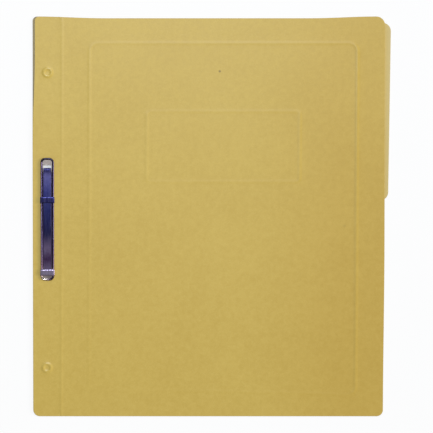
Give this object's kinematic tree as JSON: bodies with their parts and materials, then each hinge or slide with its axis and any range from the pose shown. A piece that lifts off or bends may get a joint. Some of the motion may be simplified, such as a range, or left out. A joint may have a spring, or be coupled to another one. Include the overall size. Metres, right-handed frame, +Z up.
{
  "type": "pressboard file folder",
  "caption": "Pressboard report folder: creased front and back covers with an index tab, bound by a steel prong fastener with a compressor bar and sliding locks.",
  "frame": {"origin": "middle of the folder's footprint, index tab included, on the surface that it lies on", "axes": "+X from the binding edge to the fore edge, +Y from the foot to the head, +Z up out of the front cover"},
  "size_m": [0.2615, 0.2922, 0.0033],
  "materials": {
    "pressboard": "yellow calendered pressboard, finely mottled",
    "prong_steel": "dark blued spring steel strip",
    "bar_steel": "dark blue plated steel, curled edges",
    "slide_steel": "dark blue plated steel"
  },
  "bodies": {
    "binding": {"front_binding_strip": "pressboard", "back_binding_strip": "pressboard", "prong_strip": "prong_steel", "compressor_bar": "bar_steel"},
    "front_leaf": {"front_cover": "pressboard"},
    "back_leaf": {"back_cover": "pressboard"},
    "upper_lock": {"upper_slide": "slide_steel"},
    "lower_lock": {"lower_slide": "slide_steel"}
  },
  "joints": [
    {"name": "front_hinge", "type": "hinge", "parent": "binding", "child": "front_leaf", "pos_m": [-0.10945, 0, 0.0019], "axis": [0, -1, 0], "range_deg": [0, 160]},
    {"name": "back_hinge", "type": "hinge", "parent": "binding", "child": "back_leaf", "pos_m": [-0.10945, 0, 0.00015], "axis": [0, 1, 0], "range_deg": [0, 175]},
    {"name": "upper_slide_travel", "type": "slide", "parent": "binding", "child": "upper_lock", "axis": [0, 1, 0], "range_m": [-0.011, 0.025]},
    {"name": "lower_slide_travel", "type": "slide", "parent": "binding", "child": "lower_lock", "axis": [0, 1, 0], "range_m": [0, 0.0358]}
  ]
}
